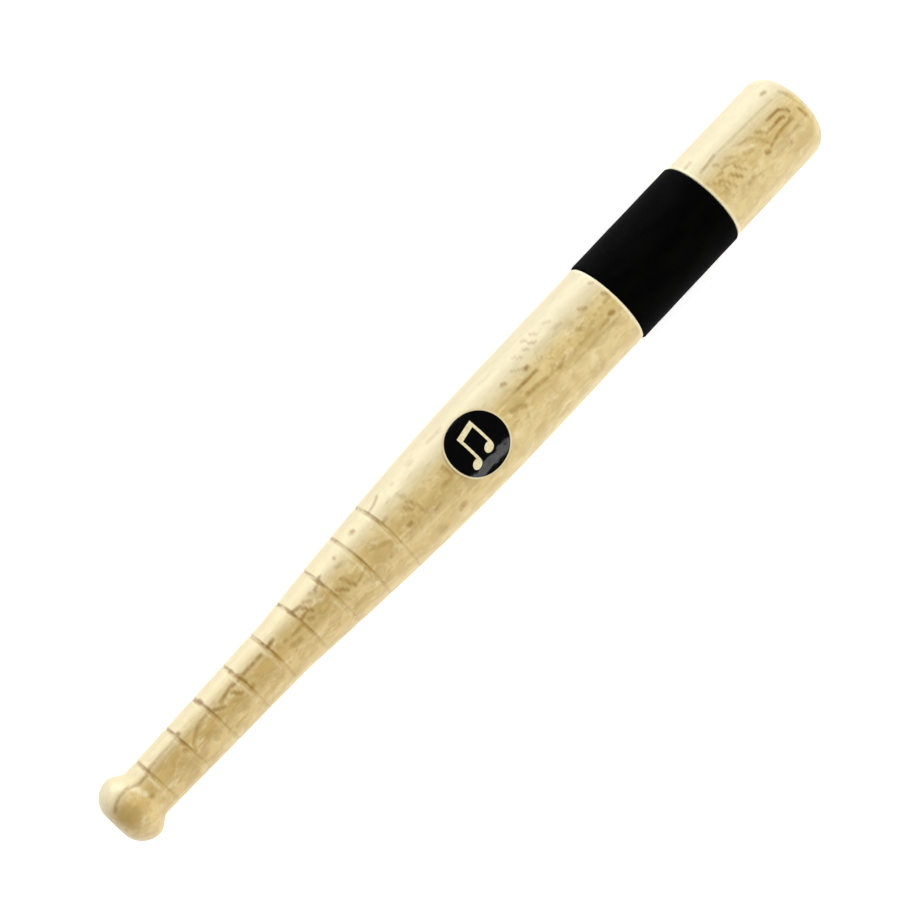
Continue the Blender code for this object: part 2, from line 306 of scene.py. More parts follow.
BODY_MARKS = (
    (0.65, 0.45, (103.7, 1.8), (104.7, 0.1)), (0.55, 0.40, (105.3, 2.6), (106.2, 0.2), (106.8, -2.6)),
    (0.35, 0.40, (106.8, -2.6), (108.3, -4.0), (110.8, -3.8)), (0.65, 0.55, (101.0, -1.9), (102.2, -1.9)),
    (0.60, 0.60, (113.6, -8.4), (115.2, -8.2)), (0.30, 0.80, (106.4, -8.2), (107.8, -8.8)),
    (0.40, 0.60, (114.6, -1.3), (116.6, -1.5)), (0.65, 0.55, (117.4, 1.8), (117.6, -0.8)),
    (0.35, 0.60, (105.0, 5.4), (105.6, 3.8)), (0.25, 0.60, (106.2, 8.2)),
    (0.25, 0.70, (112.6, 8.7), (113.6, 8.6)), (0.35, 0.50, (120.0, 8.8), (124.4, 8.8)),
    (0.50, 0.60, (139.2, -1.0), (141.4, -1.7), (142.6, -2.5)), (0.75, 0.60, (142.5, 5.1), (143.2, 4.9)),
    (0.95, 0.65, (149.5, 3.6), (150.0, 3.6)), (0.35, 0.40, (146.6, 5.9), (148.4, 4.6), (149.4, 3.9)),
    (0.35, 0.40, (142.4, 1.9), (144.6, 1.6)), (0.80, 0.42, (144.6, 1.6), (147.8, 1.5), (151.0, 1.4)),
    (0.55, 0.60, (145.2, -1.1), (148.4, -1.3), (151.4, -1.8)), (0.45, 0.50, (152.8, -1.8), (153.8, -1.6)),
    (0.60, 0.60, (155.4, -2.1), (156.2, -2.2)), (0.40, 0.50, (154.4, -0.4), (155.4, -1.6)),
    (0.50, 0.40, (156.4, -1.8), (158.2, -1.4)), (0.35, 0.40, (159.6, -2.0), (161.2, -2.1)),
    (0.22, 0.35, (151.6, -2.0), (168.0, -2.2)), (0.25, 0.40, (159.2, -4.3), (176.0, -4.2)),
    (0.45, 0.50, (154.7, 9.0), (155.2, 8.5)), (0.35, 0.45, (152.8, 7.6), (153.8, 6.5)),
    (0.50, 0.45, (155.0, 7.6), (156.2, 6.5)), (0.40, 0.45, (157.2, 8.8), (158.2, 7.6)),
    (0.35, 0.45, (149.8, 7.9), (151.0, 6.4)), (0.30, 0.45, (161.6, 8.2), (162.8, 7.4)),
    (0.45, 0.40, (154.4, 2.7)), (0.60, 0.50, (165.5, 1.1), (166.5, 0.2)),
    (0.70, 0.55, (169.8, 4.1), (170.9, 3.2)), (0.30, 0.50, (162.0, 5.4), (164.0, 5.2)),
    (0.35, 0.60, (171.4, 0.4)), (0.40, 0.60, (173.4, 0.6)), (0.55, 0.50, (175.2, 0.8), (177.4, 0.9)),
    (0.70, 0.50, (176.8, 2.6), (177.4, 1.4)), (0.45, 0.45, (176.7, 6.8), (177.1, 6.2)),
    (0.95, 0.65, (174.3, -2.2), (175.0, -2.5)), (0.45, 0.40, (169.4, -3.0), (172.2, -2.9), (174.2, -2.5)),
    (0.30, 0.50, (171.0, -4.7), (174.4, -4.5)), (0.35, 0.50, (177.0, -3.3)),
    (0.25, 1.20, (161.5, -9.5), (164.5, -9.3)),
)
TIP_MARKS = (
    (0.40, 0.45, (215.4, 9.0), (217.8, 9.1)), (0.60, 0.42, (217.2, 5.5), (219.8, 5.6), (222.4, 6.0)),
    (0.25, 0.40, (222.4, 6.0), (232.0, 5.6), (243.4, 5.2)), (0.45, 0.45, (220.4, 4.4), (221.2, 3.5)),
    (0.45, 0.50, (214.9, 2.8), (215.3, 1.6)), (0.55, 0.50, (219.4, 1.9), (220.2, 1.5)),
    (0.50, 0.38, (216.6, 1.4), (217.8, -0.2), (218.6, -2.4)),
    (0.60, 0.38, (218.4, 0.6), (219.6, -1.2), (220.4, -3.4)),
    (0.75, 0.42, (221.4, -0.2), (222.3, -1.4), (223.2, -2.8)),
    (0.65, 0.38, (223.6, 0.8), (224.4, -0.8), (225.2, -2.2)),
    (0.35, 0.38, (221.0, 2.2), (223.4, 1.6), (225.0, 0.6)),
    (0.35, 0.38, (223.8, 3.4), (225.4, 2.2), (226.2, 0.6)), (0.40, 0.70, (217.2, -2.8), (218.4, -2.6)),
    (0.35, 0.60, (223.6, -5.4), (225.4, -5.0)),
    (0.35, 0.42, (229.0, 3.1), (231.6, 2.8), (233.0, 1.2), (233.8, -0.6), (234.6, -2.2)),
    (0.50, 0.42, (234.0, 2.4), (235.2, 1.2), (235.9, -0.1)), (0.95, 0.62, (232.3, -3.1), (232.9, -3.3)),
    (0.65, 0.42, (234.0, -2.9), (235.6, -2.6), (237.6, -2.0), (240.4, -1.8), (243.2, -2.0)),
    (0.60, 0.38, (236.0, 0.2), (238.6, 0.2)), (0.90, 0.42, (238.6, 0.2), (241.2, 0.3), (242.0, -0.3)),
    (0.85, 0.42, (238.2, 2.4), (240.4, 2.3), (242.4, 2.2), (243.5, 1.0), (243.9, -0.1)),
    (0.60, 0.50, (242.4, -1.6), (242.9, -1.3)), (0.45, 0.50, (239.8, -4.3), (243.2, -4.2)),
    (0.35, 0.50, (239.0, -6.0)), (0.75, 0.55, (243.1, 7.9), (244.1, 7.7)),
    (0.35, 0.50, (246.4, 5.2), (247.2, 3.2)), (0.70, 0.45, (246.4, -1.4), (246.7, -3.8)),
    (0.30, 0.60, (228.0, 0.6), (230.0, 0.0)),
)
STAINS_AND_KNOB_SHADE = (
    # The first stroke is painted shade on the knob's end; the others are wide stains in the wood.
    (0.85, 3.4, (3.0, 0.0), (5.0, -1.5)), (0.75, 3.2, (13.0, 0.6), (30.0, 0.2), (46.0, 0.4), (58.0, 0.6)),
    (0.60, 3.6, (60.0, 0.6), (74.0, 0.4), (90.0, -0.4), (98.0, -0.8)),
    (0.70, 2.6, (100.0, -2.4), (118.0, -2.6)), (0.45, 2.2, (106.0, -8.0), (112.0, -9.0)),
    (0.60, 2.4, (138.0, -1.6), (152.0, -2.4)), (0.45, 2.2, (152.0, -2.2), (178.0, -2.8)),
    (0.45, 3.4, (214.0, -0.4), (228.0, -1.6), (240.0, -1.6)),
)

CREAM_PATCHES_AND_HIGHLIGHT = (
    # Pale patches in the wood; the second, on the knob, is a painted highlight.
    (0.9, 0.9, (9.2, 3.8), (9.9, 1.6), (10.4, 0.0)), (0.9, 1.3, (6.4, 7.0), (7.8, 5.4)),
    (0.45, 0.6, (13.7, 2.0), (13.8, 0.2), (13.7, -1.4)), (0.3, 0.6, (44.4, 1.6), (44.3, -0.8)),
    (0.4, 0.6, (54.5, 3.4), (54.8, 2.0), (55.1, 0.6)), (0.3, 0.6, (75.3, -0.4), (75.4, -2.6)),
    (0.5, 0.8, (104.0, 6.6), (107.0, 6.4)), (0.5, 0.7, (72.0, 2.2), (73.6, 1.2)),
    (0.5, 0.9, (157.0, 6.2), (160.0, 6.6)), (0.4, 1.0, (163.0, 2.2), (168.0, 2.4)),
    (0.5, 0.8, (229.0, 1.4), (230.6, 0.8)),
)


def smooth_falloff(distance, full, none):
    share = np.clip((distance - full) / (none - full), 0, 1)
    return 1 - share * share * (3 - 2 * share)


def away_from_stroke(x, across, places):
    """How far points are from the line through a stroke's places, in millimetres."""
    away = np.hypot(x - places[0][0], across - places[0][1])
    for start, end in zip(places, places[1:]):
        run, rise = end[0] - start[0], end[1] - start[1]
        share = ((x - start[0]) * run + (across - start[1]) * rise) / (run * run + rise * rise)
        share = np.clip(share, 0, 1)
        from_line = np.hypot(x - start[0] - share * run, across - start[1] - share * rise)
        away = np.minimum(away, from_line)
    return away


def figure(points):
    """How strong each kind of figure is at each point: dark marks, the pale wood round them, wide stains
    with painted shade on the knob's end, and pale patches with a painted highlight on the knob."""
    x, across, out = np.array(points, dtype=float).T
    marks, halo, stain_and_shade, cream_and_highlight = np.zeros((4, len(x)))
    for strength, width, *places in (*HANDLE_SEAM, *HANDLE_MARKS, *BODY_MARKS, *TIP_MARKS):
        away = away_from_stroke(x, across, places) / width
        marks = np.maximum(marks, strength * smooth_falloff(away, 0.35, 1.45))
        halo = np.maximum(halo, strength * smooth_falloff(np.abs(away - 2.1), 0.2, 1.1))
        stain_and_shade = np.maximum(stain_and_shade, 0.5 * strength * smooth_falloff(away, 1.0, 4.5))
    for strength, width, *places in STAINS_AND_KNOB_SHADE:
        away = away_from_stroke(x, across, places) / width
        stain_and_shade = np.maximum(stain_and_shade, strength * smooth_falloff(away, 0.3, 1.3))
    for strength, width, *places in CREAM_PATCHES_AND_HIGHLIGHT:
        away = away_from_stroke(x, across, places) / width
        cream_and_highlight = np.maximum(cream_and_highlight, strength * smooth_falloff(away, 0.2, 1.3))
    above = np.clip(out / 2, 0, 1)
    return {"marks": marks * above, "halo": halo * above, "stain_and_shade": stain_and_shade * above, "cream_and_highlight": cream_and_highlight * above}


def make_stick():
    """The whole turned stick as one closed mesh: two poles and the rows between them."""
    rows = [*knob_rows(), *shaft_rows(), *seat_rows(), *tip_rows()]
    points, burn, lip, edge = [], [], [], []
    for x, radius in rows:
        ring = min(range(RING_COUNT), key=lambda number: abs(RING_XS[number] - x))
        offset = x - RING_XS[ring]
        near = abs(offset) <= RING_REACH + 0.01
        for side in range(WOOD_SIDES):
            share = tau * side / WOOD_SIDES
            angle = share - WOOD_CROWDING * sin(share)
            place, depth, dark, pale = x, 0.0, 0.0, 0.0
            if near:
                fade = smooth_step((RING_REACH + 0.1 - abs(offset)) / 0.9)
                place += ring_place(ring, angle) * fade
                strength = ring_strength(ring, angle)
                depth = RING_DEPTH * (0.15 + 0.7 * strength) * ring_cut(offset)
                dark = strength * smooth_step(1.35 - abs(offset) / 0.6)
                pale = (0.1 + 0.9 * strength) * exp(-((offset + 0.95) / 0.3) ** 2)
            ends = smooth_step(min(x, LENGTH - x) / 3)
            reach = radius - depth + turning_unevenness(x, angle) * ends
            points.append((place, reach * sin(angle), reach * cos(angle)))
            burn.append(dark)
            lip.append(pale)
            from_seat = max(0, SEAT_START - 0.5 - x, (x - SEAT_END - 0.35) * 1.6)
            edge.append(exp(-(from_seat / 0.3) ** 2))
    faces = ring_faces(len(rows), WOOD_SIDES)
    first, last = len(points), len(points) + 1
    points += [(0, 0, 0), (LENGTH, 0, 0)]
    burn += [0, 0]
    lip += [0, 0]
    edge += [0, 0]
    end = (len(rows) - 1) * WOOD_SIDES
    for side in range(WOOD_SIDES):
        other = (side + 1) % WOOD_SIDES
        faces.append((first, other, side))
        faces.append((last, end + side, end + other))
    attributes = {"burn": burn, "lip": lip, "edge": edge, **figure(points)}
    return placed("stick_wood", points, faces, attributes)


# Geometry: the sleeve

SLEEVE_SIDES = 192
SLEEVE_END_GAP = 0.12


def make_sleeve():
    """A rubber tube, pulled on by hand: its wall is a little uneven, and its ends are cut and eased."""
    start = SEAT_START + SLEEVE_END_GAP
    end = SEAT_END - SLEEVE_END_GAP
    bore = HEAD_RADIUS - SEAT_DEPTH + 0.05
    ease = SLEEVE_EDGE_ROUNDING
    outline = [(start, bore), (start, SLEEVE_RADIUS - ease - 0.5)]
    for step in range(11):
        angle = -pi / 2 + pi / 2 * step / 10
        outline.append((start + ease + ease * sin(angle), SLEEVE_RADIUS - ease + ease * cos(angle)))
    outline += [(x, SLEEVE_RADIUS) for x in spaced(start + ease, end - ease, 0.9)[1:]]
    for step in range(11):
        angle = pi / 2 * step / 10
        outline.append((end - ease + ease * sin(angle), SLEEVE_RADIUS - ease + ease * cos(angle)))
    outline += [(end, SLEEVE_RADIUS - ease - 0.5), (end, bore)]
    points = []
    for x, radius in outline:
        for side in range(SLEEVE_SIDES):
            angle = tau * side / SLEEVE_SIDES
            lump = noise.noise(Vector((x * 0.12, 1.3 * cos(angle), 1.3 * sin(angle) + 4)))
            wave = noise.noise(Vector((x * 0.5, 4 * cos(angle), 4 * sin(angle) + 8)))
            reach = radius - (0.05 + 0.05 * lump + 0.015 * wave if radius > bore else 0)
            points.append((x, reach * sin(angle), reach * cos(angle)))
    faces = ring_faces(len(outline), SLEEVE_SIDES, closed=True)
    return placed("sleeve", points, faces)


# Geometry: the badge

DISC_SIDES = 160
DISC_RINGS = 28
EMBLEM_CUTS = 10
EMBLEM_CUT_STEP = 0.6
MERGE_DISTANCE = 1e-5


def wrapped(x, y, height):
    """Where a point of a flat badge lies once the badge is bent round the stick."""
    radius = stick_radius(BADGE_X + x) + height
    angle = y / stick_radius(BADGE_X) - BADGE_TURN
    return (BADGE_X + x, radius * sin(angle), radius * cos(angle))


def make_disc(name, radius, bottom, top_of, ripple=0):
    """A round badge layer with a flat underside. Its top's height follows the distance from the centre.

    A print laid on by hand is never quite flat, and ripple is how far its top rises and falls.
    """
    points, faces, away = [wrapped(0, 0, top_of(0))], [], [0]
    for ring in range(1, DISC_RINGS + 1):
        distance = radius * sin(pi / 2 * ring / DISC_RINGS)
        for side in range(DISC_SIDES):
            angle = tau * side / DISC_SIDES
            x, y = distance * cos(angle), distance * sin(angle)
            wave = noise.noise(Vector((x * 0.7, y * 0.7, 3))) * (1 - (distance / radius) ** 4)
            points.append(wrapped(x, y, top_of(distance) + ripple * wave))
            away.append(distance)
    for side in range(DISC_SIDES):
        other = (side + 1) % DISC_SIDES
        faces.append((0, 1 + side, 1 + other))
    for ring in range(DISC_RINGS - 1):
        here, there = 1 + ring * DISC_SIDES, 1 + (ring + 1) * DISC_SIDES
        for side in range(DISC_SIDES):
            other = (side + 1) % DISC_SIDES
            faces.append((here + side, there + side, there + other, here + other))
    top_rim = 1 + (DISC_RINGS - 1) * DISC_SIDES
    under = len(points)
    for ring in range(DISC_RINGS, 0, -4):
        distance = radius * sin(pi / 2 * ring / DISC_RINGS)
        for side in range(DISC_SIDES):
            angle = tau * side / DISC_SIDES
            points.append(wrapped(distance * cos(angle), distance * sin(angle), bottom))
            away.append(distance)
    rows = len(range(DISC_RINGS, 0, -4))
    starts = [top_rim] + [under + row * DISC_SIDES for row in range(rows)]
    for here, there in zip(starts, starts[1:]):
        for side in range(DISC_SIDES):
            other = (side + 1) % DISC_SIDES
            faces.append((here + side, there + side, there + other, here + other))
    points.append(wrapped(0, 0, bottom))
    away.append(0)
    for side in range(DISC_SIDES):
        other = (side + 1) % DISC_SIDES
        faces.append((len(points) - 1, starts[-1] + other, starts[-1] + side))
    return placed(name, points, faces, {"from_centre": away})


def flat_piece(name, corners, bottom, top):
    bm = bmesh.new()
    face = bm.faces.new([bm.verts.new((x, y, bottom)) for x, y in corners])
    grown = bmesh.ops.extrude_face_region(bm, geom=[face])
    raised = [item for item in grown["geom"] if isinstance(item, bmesh.types.BMVert)]
    bmesh.ops.translate(bm, verts=raised, vec=(0, 0, top - bottom))
    bmesh.ops.recalc_face_normals(bm, faces=bm.faces)
    mesh = bpy.data.meshes.new(name)
    bm.to_mesh(mesh)
    bm.free()
    made = bpy.data.objects.new(name, mesh)
    bpy.context.collection.objects.link(made)
    return made


def evaluated_mesh(obj):
    graph = bpy.context.evaluated_depsgraph_get()
    return bpy.data.meshes.new_from_object(obj.evaluated_get(graph))


def join(obj, other):
    modifier = obj.modifiers.new("union", "BOOLEAN")
    modifier.operation = "UNION"
    modifier.object = other
    joined = evaluated_mesh(obj)
    obj.modifiers.clear()
    obj.data = joined
    bpy.data.objects.remove(other, do_unlink=True)


def ellipse(centre_x, centre_y, length, height, turn, sides=72):
    corners = []
    for side in range(sides):
        along = length / 2 * cos(tau * side / sides)
        across = height / 2 * sin(tau * side / sides)
        corners.append((centre_x + along * cos(turn) - across * sin(turn),
                        centre_y + along * sin(turn) + across * cos(turn)))
    return corners


def make_emblem(name, bottom, top):
    """Joined quavers with softly rounded strokes, bent round the stick with the badge."""
    slope = BEAM_RISE / NOTE_SPACING
    reach = NOTE_SPACING / 2 + STEM_WIDTH / 2
    beam_y = EMBLEM_FOOT_Y + STEM_LENGTH + BEAM_RISE / 2
    low, high = beam_y - reach * slope, beam_y + reach * slope
    beam = [(-reach, low), (reach, high), (reach, high + BEAM_THICKNESS), (-reach, low + BEAM_THICKNESS)]
    made = flat_piece(name, beam, bottom, top)
    for side in (-1, 1):
        stem_x = side * NOTE_SPACING / 2
        foot_y = EMBLEM_FOOT_Y + (side + 1) / 2 * BEAM_RISE
        left, right = stem_x - STEM_WIDTH / 2, stem_x + STEM_WIDTH / 2
        foot, head = foot_y + STEM_FOOT_RISE, foot_y + STEM_LENGTH + BEAM_THICKNESS / 2
        corners = [(left, foot), (right, foot), (right, head), (left, head)]
        join(made, flat_piece("stem", corners, bottom, top))
        head_x = stem_x + STEM_WIDTH / 2 - NOTE_HEAD_LENGTH / 2
        outline = ellipse(head_x, foot_y, NOTE_HEAD_LENGTH, NOTE_HEAD_HEIGHT, NOTE_HEAD_TURN)
        join(made, flat_piece("note_head", outline, bottom, top))
    bevel = made.modifiers.new("rounding", "BEVEL")
    bevel.width = 0.05
    bevel.segments = 3
    bevel.limit_method = "ANGLE"
    flat = evaluated_mesh(made)
    bpy.data.objects.remove(made, do_unlink=True)
    bm = bmesh.new()
    bm.from_mesh(flat)
    cuts = range(-EMBLEM_CUTS, EMBLEM_CUTS + 1)
    for normal in ((1, 0, 0), (0, 1, 0)):
        for number in cuts:
            place = [part * number * EMBLEM_CUT_STEP for part in normal]
            everything = bm.verts[:] + bm.edges[:] + bm.faces[:]
            bmesh.ops.bisect_plane(
                bm, geom=everything, dist=MERGE_DISTANCE, plane_co=place, plane_no=normal
            )
    bmesh.ops.triangulate(bm, faces=bm.faces)
    points = [wrapped(*vert.co) for vert in bm.verts]
    faces = [tuple(vert.index for vert in face.verts) for face in bm.faces]
    bm.free()
    made = placed(name, points, faces)
    made.data.set_sharp_from_angle(angle=radians(40))
    return made


# Materials

class Nodes:
    """A short way to build a node tree: each call makes one node and links its inputs."""

    def __init__(self, name):
        self.material = bpy.data.materials.new(name)
        self.material.use_nodes = True
        self.tree = self.material.node_tree
        self.shader = self.tree.nodes["Principled BSDF"]

    def link(self, source, socket):
        if isinstance(source, bpy.types.NodeSocket):
            self.tree.links.new(source, socket)
        else:
            socket.default_value = source

    def node(self, kind, **settings):
        made = self.tree.nodes.new(kind)
        for key, value in settings.items():
            setattr(made, key, value)
        return made

    def attribute(self, name, output="Fac"):
        return self.node("ShaderNodeAttribute", attribute_name=name).outputs[output]

    def math(self, operation, *values):
        made = self.node("ShaderNodeMath", operation=operation)
        for value, socket in zip(values, made.inputs):
            self.link(value, socket)
        return made.outputs[0]

    def stretch(self, vector, scale, shift=(0, 0, 0)):
        made = self.node("ShaderNodeVectorMath", operation="MULTIPLY_ADD")
        self.link(vector, made.inputs[0])
        made.inputs[1].default_value = scale
        made.inputs[2].default_value = shift
        return made.outputs[0]

    def offset(self, vector, colour, amount):
        """The vector moved about by a noise colour, by up to amount / 2 each way."""
        centred = self.node("ShaderNodeVectorMath", operation="MULTIPLY_ADD")
        self.link(colour, centred.inputs[0])
        centred.inputs[1].default_value = (amount,) * 3
        centred.inputs[2].default_value = (-amount / 2,) * 3
        made = self.node("ShaderNodeVectorMath", operation="ADD")
        self.link(vector, made.inputs[0])
        self.link(centred.outputs[0], made.inputs[1])
        return made.outputs[0]

    def noise(self, vector, detail=2.0, roughness=0.5, output="Fac"):
        made = self.node("ShaderNodeTexNoise")
        self.link(vector, made.inputs["Vector"])
        made.inputs["Scale"].default_value = 1
        made.inputs["Detail"].default_value = detail
        made.inputs["Roughness"].default_value = roughness
        return made.outputs[output]

    def cells(self, vector):
        """Distance to the nearest cell point, and that cell's own random colour."""
        made = self.node("ShaderNodeTexVoronoi")
        self.link(vector, made.inputs["Vector"])
        made.inputs["Scale"].default_value = 1
        return made.outputs["Distance"], made.outputs["Color"]

    def parts(self, vector):
        made = self.node("ShaderNodeSeparateXYZ")
        self.link(vector, made.inputs[0])
        return made.outputs

    def channel(self, colour, number):
        made = self.node("ShaderNodeSeparateColor")
        self.link(colour, made.inputs[0])
        return made.outputs[number]

    def remap(self, value, low, high, to_low=0.0, to_high=1.0, smooth=True):
        made = self.node("ShaderNodeMapRange", interpolation_type="SMOOTHSTEP" if smooth else "LINEAR")
        for entry, socket in zip((value, low, high, to_low, to_high), made.inputs):
            self.link(entry, socket)
        return made.outputs[0]

    def mix(self, share, first, second, blend="MIX"):
        made = self.node("ShaderNodeMix", data_type="RGBA", blend_type=blend)
        self.link(share, made.inputs[0])
        self.link(first, made.inputs[6])
        self.link(second, made.inputs[7])
        return made.outputs[2]

    def bump(self, height, strength, distance, normal=None):
        made = self.node("ShaderNodeBump")
        made.inputs["Strength"].default_value = strength
        made.inputs["Distance"].default_value = distance
        self.link(height, made.inputs["Height"])
        if normal is not None:
            self.link(normal, made.inputs["Normal"])
        return made.outputs[0]

    def set(self, **values):
        """Sets the shader's own sockets, with _ for each space."""
        for key, value in values.items():
            self.link(value, self.shader.inputs[key.replace("_", " ")])


def wood_material():
    n = Nodes("beater_wood")
    place = n.attribute("stick_mm", "Vector")
    x, across, out = n.parts(place)
    drift = n.noise(n.stretch(place, (0.018, 0.07, 0.07)), detail=2, output="Color")
    wiggle = n.noise(n.stretch(place, (0.22, 0.5, 0.5), (5, 1, 7)), detail=2, output="Color")
    flow = n.offset(place, drift, 5.0)
    curly = n.offset(flow, wiggle, 2.6)

    # growth rings round a pith that lies under the stick and runs a little across its axis
    tilted = n.node("ShaderNodeVectorRotate", rotation_type="Y_AXIS")
    n.link(curly, tilted.inputs["Vector"])
    tilted.inputs["Center"].default_value = (120, 0, 0)
    tilted.inputs["Angle"].default_value = radians(3.2)
    from_pith = n.node("ShaderNodeVectorMath", operation="LENGTH")
    n.link(n.stretch(tilted.outputs[0], (0, 1, 1), (0, -4, 26)), from_pith.inputs[0])
    share = n.math("FRACT", n.math("MULTIPLY", from_pith.outputs["Value"], 1 / 1.7))
    late = n.math("MULTIPLY", n.remap(share, 0.35, 0.9), n.remap(share, 1.0, 0.93))

    # clear wood on one side, figured wood on the other
    figured = n.remap(across, -9, 0, -0.09, 0.05)
    patch = n.math("ADD", n.noise(n.stretch(place, (0.045, 0.10, 0.10), (3, 8, 2)), detail=1), figured)

    # painted light: the side that faces the lamps is painted paler, as if lit; darker wood towards the
    # handle
    painted_light_side = n.math("MULTIPLY", n.remap(across, 0.5, 7), n.remap(out, -6, 0))
    fibre = n.noise(n.stretch(flow, (0.10, 2.2, 2.2)), detail=2, roughness=0.5)
    mottle = n.noise(n.stretch(curly, (0.16, 0.26, 0.26), (7, 3, 1)), detail=3, roughness=0.5)
    tone = n.math("ADD", n.math("MULTIPLY", fibre, 0.2), n.math("MULTIPLY", mottle, 0.9))
    towards_head = n.remap(x, 60, 150)
    pale = n.mix(towards_head, (0.72, 0.52, 0.195, 1), (0.75, 0.575, 0.235, 1))
    deep = n.mix(towards_head, (0.60, 0.41, 0.13, 1), (0.63, 0.45, 0.155, 1))
    colour = n.mix(n.remap(tone, 0.44, 0.70), pale, deep)
    fleck = n.noise(n.stretch(curly, (0.42, 0.6, 0.6), (2, 6, 4)), detail=2, roughness=0.6)
    fleck = n.math("MULTIPLY", n.remap(fleck, 0.50, 0.72, 0.0, 0.5), n.remap(across, -9, -4, 0.35, 1))
    colour = n.mix(fleck, colour, (0.46, 0.31, 0.07, 1))
    # wide stains, and painted shade on the knob's end
    colour = n.mix(n.math("MULTIPLY", n.attribute("stain_and_shade"), 0.6), colour, (0.48, 0.305, 0.06, 1))
    # painted highlight: the pale colour of the side that faces the lamps
    painted_light_colour = n.mix(towards_head, (0.84, 0.74, 0.43, 1), (0.75, 0.665, 0.415, 1))
    colour = n.mix(n.math("MULTIPLY", painted_light_side, 0.75), colour, painted_light_colour)
    gleam = n.noise(n.stretch(curly, (0.24, 0.36, 0.36), (9, 2, 5)), detail=2, roughness=0.6)
    gleam = n.math("MULTIPLY", n.remap(gleam, 0.52, 0.74, 0.0, 0.5), n.remap(painted_light_side, 0, 1, 1, 0.2))
    colour = n.mix(gleam, colour, (0.86, 0.71, 0.38, 1))
    seen_rings = n.math("MULTIPLY", late, n.remap(patch, 0.40, 0.62, 0.05, 0.32))
    seen_rings = n.math("MULTIPLY", seen_rings, n.remap(painted_light_side, 0, 1, 1, 0.2))
    colour = n.mix(seen_rings, colour, (0.40, 0.26, 0.05, 1))

    # pores: short dark dashes along the fibres
    pore_away, pore_cell = n.cells(n.stretch(flow, (0.24, 1.15, 1.15)))
    pores = n.math("MULTIPLY", n.remap(pore_away, 0.20, 0.10), n.remap(n.channel(pore_cell, 0), 0.45, 0.5))
    colour = n.mix(n.math("MULTIPLY", pores, 0.2), colour, (0.28, 0.15, 0.02, 1))

    # figure that nobody placed: brown strokes that wander along the grain
    stroke_away, stroke_cell = n.cells(n.stretch(curly, (0.125, 0.42, 0.42), (1, 4, 2)))
    strokes = n.remap(stroke_away, 0.27, 0.12)
    strokes = n.math("MULTIPLY", strokes, n.remap(n.channel(stroke_cell, 0), 0.55, 0.62))
    strokes = n.math("MULTIPLY", strokes, n.remap(patch, 0.42, 0.55))
    below = n.remap(out, 3, -1, 0.14, 0.42)
    colour = n.mix(n.math("MULTIPLY", strokes, below), colour, (0.32, 0.19, 0.02, 1))

    # the placed figure, with paler wood round it
    break_up = n.remap(n.noise(n.stretch(place, (0.8, 0.8, 0.8), (4, 4, 1)), detail=3), 0.3, 0.6, 0.6, 1.1)
    marks = n.math("MULTIPLY", n.attribute("marks"), break_up)
    colour = n.mix(n.math("MULTIPLY", n.attribute("halo"), 0.16), colour, (0.86, 0.74, 0.44, 1))
    # pale patches, and a painted highlight on the knob
    cream_and_highlight = n.math("MULTIPLY", n.attribute("cream_and_highlight"), n.math("MULTIPLY", break_up, 0.6))
    colour = n.mix(cream_and_highlight, colour, (0.92, 0.82, 0.53, 1))
    colour = n.mix(marks, colour, (0.32, 0.165, 0.002, 1))

    # the burnt rings
    char = n.noise(n.stretch(place, (0.9, 0.28, 0.28)), detail=3)
    burn = n.math("MULTIPLY", n.attribute("burn"), n.remap(char, 0.36, 0.62, 0.35, 1.0))
    lip = n.math("MULTIPLY", n.attribute("lip"), n.remap(char, 0.4, 0.7, 0.0, 0.7))
    colour = n.mix(lip, colour, (0.90, 0.80, 0.48, 1))
    colour = n.mix(n.math("MULTIPLY", n.attribute("edge"), 0.85), colour, (0.95, 0.86, 0.56, 1))
    colour = n.mix(burn, colour, (0.33, 0.17, 0.004, 1))

    dents = n.math("ADD", marks, n.math("ADD", pores, strokes))
    relief = n.math("SUBTRACT", n.math("MULTIPLY", fibre, 0.3), n.math("MULTIPLY", dents, 0.5))
    rough = n.math("ADD", n.math("MULTIPLY", fibre, 0.14), n.math("MULTIPLY", burn, 0.2))
    n.set(
        Base_Color=colour,
        Roughness=n.math("ADD", rough, 0.42),
        Normal=n.bump(relief, 0.4, 0.00008),
        Coat_Weight=1.0,
        Coat_Roughness=0.5,
        Coat_IOR=1.55,
    )
    return n.material


def rubber_material():
    n = Nodes("sleeve_rubber")
    place = n.attribute("stick_mm", "Vector")
    grit = n.noise(n.stretch(place, (2.2, 2.2, 2.2)), detail=4, roughness=0.6)
    cloud = n.noise(n.stretch(place, (0.12, 0.2, 0.2)), detail=3)
    colour = n.mix(n.remap(cloud, 0.35, 0.7), (0.0007, 0.0007, 0.0006, 1), (0.0016, 0.0016, 0.0014, 1))
    n.set(
        Base_Color=colour,
        Roughness=n.remap(grit, 0.3, 0.7, 0.62, 0.82),
        Normal=n.bump(grit, 0.4, 0.00008),
        Specular_IOR_Level=0.02,
    )
    return n.material


def pad_material():
    n = Nodes("badge_pad")
    grain = n.noise(n.stretch(n.attribute("stick_mm", "Vector"), (3, 3, 3)), detail=3)
    n.set(
        Base_Color=n.mix(grain, (0.50, 0.50, 0.47, 1), (0.62, 0.61, 0.57, 1)),
        Roughness=0.6,
        Normal=n.bump(grain, 0.3, 0.00005),
    )
    return n.material


